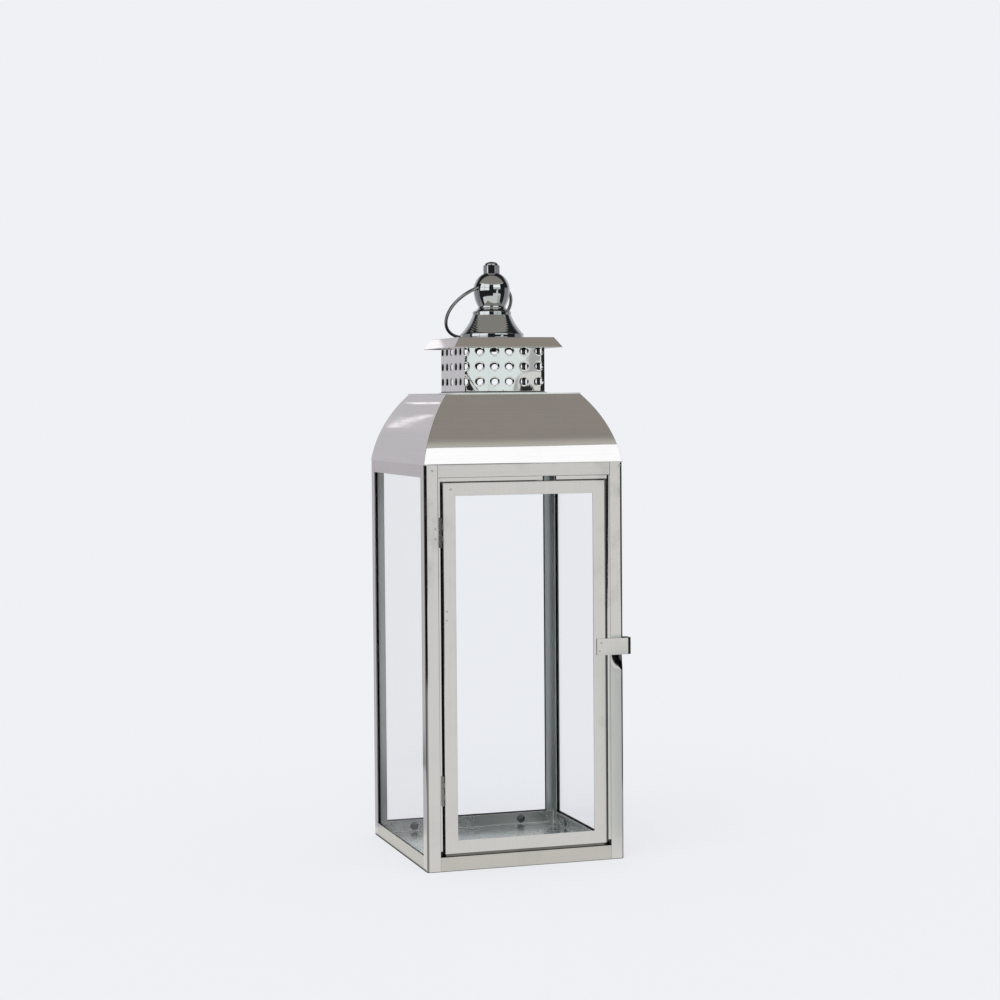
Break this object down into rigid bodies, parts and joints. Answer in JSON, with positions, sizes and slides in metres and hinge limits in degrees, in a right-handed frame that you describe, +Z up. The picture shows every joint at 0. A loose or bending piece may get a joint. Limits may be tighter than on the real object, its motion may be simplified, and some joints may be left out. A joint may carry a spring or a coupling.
{
  "type": "candle lantern",
  "caption": "Square steel candle lantern with clear glass on all sides, a hinged door with a spring clip, a bowed roof, a perforated vent under a cap, and a finial with a swinging ring.",
  "frame": {"origin": "middle of the pan's underside, on the ground, under the centre of the square body", "axes": "+Z up, -Y out of the front where the door is, +X towards the spring clip, away from the door's hinges"},
  "size_m": [0.1878, 0.1816, 0.5277],
  "materials": {
    "frame_steel": "polished stainless angle and bar, faint draw lines",
    "door_steel": "polished stainless door frame and clip",
    "roof_steel": "polished bowed roof sheet",
    "cap_steel": "polished rain cap",
    "vent_steel": "polished perforated sheet",
    "pan_steel": "mirror floor of the pan",
    "finial_chrome": "mirror polished spun finial and cap nut",
    "ring_wire": "drawn wire ring, duller than the finial",
    "rivet_steel": "plain rivet heads",
    "inner_steel": "plain inner stops, hinges, rod and nuts",
    "clear_glass": "clear float glass"
  },
  "bodies": {
    "lantern": {"post_front_left": "frame_steel", "post_front_right": "frame_steel", "post_back_right": "frame_steel", "post_back_left": "frame_steel", "bottom_rail_front": "frame_steel", "bottom_rail_right": "frame_steel", "bottom_rail_back": "frame_steel", "bottom_rail_left": "frame_steel", "top_rail_front": "frame_steel", "top_rail_right": "frame_steel", "top_rail_back": "frame_steel", "top_rail_left": "frame_steel", "base_pan": "pan_steel", "pan_rivets": "rivet_steel", "glass_stop_front_left": "inner_steel", "glass_stop_front_right": "inner_steel", "glass_stop_back_right": "inner_steel", "glass_stop_back_left": "inner_steel", "glass_right": "clear_glass", "glass_back": "clear_glass", "glass_left": "clear_glass", "roof_panel_front": "roof_steel", "roof_panel_right": "roof_steel", "roof_panel_back": "roof_steel", "roof_panel_left": "roof_steel", "roof_top_plate": "roof_steel", "vent_box": "vent_steel", "rain_cap": "cap_steel", "finial_bell": "finial_chrome", "finial_bulb": "finial_chrome", "finial_rod": "inner_steel", "cap_nut": "finial_chrome", "inner_nut": "inner_steel", "inner_washer": "inner_steel", "upper_hinge_frame_leaf": "inner_steel", "lower_hinge_frame_leaf": "inner_steel", "upper_hinge_pin": "inner_steel", "lower_hinge_pin": "inner_steel"},
    "door": {"door_stile_left": "door_steel", "door_stile_right": "door_steel", "door_rail_top": "door_steel", "door_rail_bottom": "door_steel", "door_glass": "clear_glass", "door_glass_tabs": "inner_steel", "latch_clip": "door_steel", "upper_hinge_door_leaf": "inner_steel", "lower_hinge_door_leaf": "inner_steel"},
    "ring": {"ring_handle": "ring_wire"}
  },
  "joints": [
    {"name": "door_hinge", "type": "hinge", "parent": "lantern", "child": "door", "pos_m": [-0.07595, -0.0903, 0.1808], "axis": [0, 0, -1], "range_deg": [0, 170]},
    {"name": "ring_swing", "type": "hinge", "parent": "lantern", "child": "ring", "pos_m": [0, 0, 0.504], "axis": [0.9455, 0.3256, 0], "range_deg": [0, 270]}
  ]
}
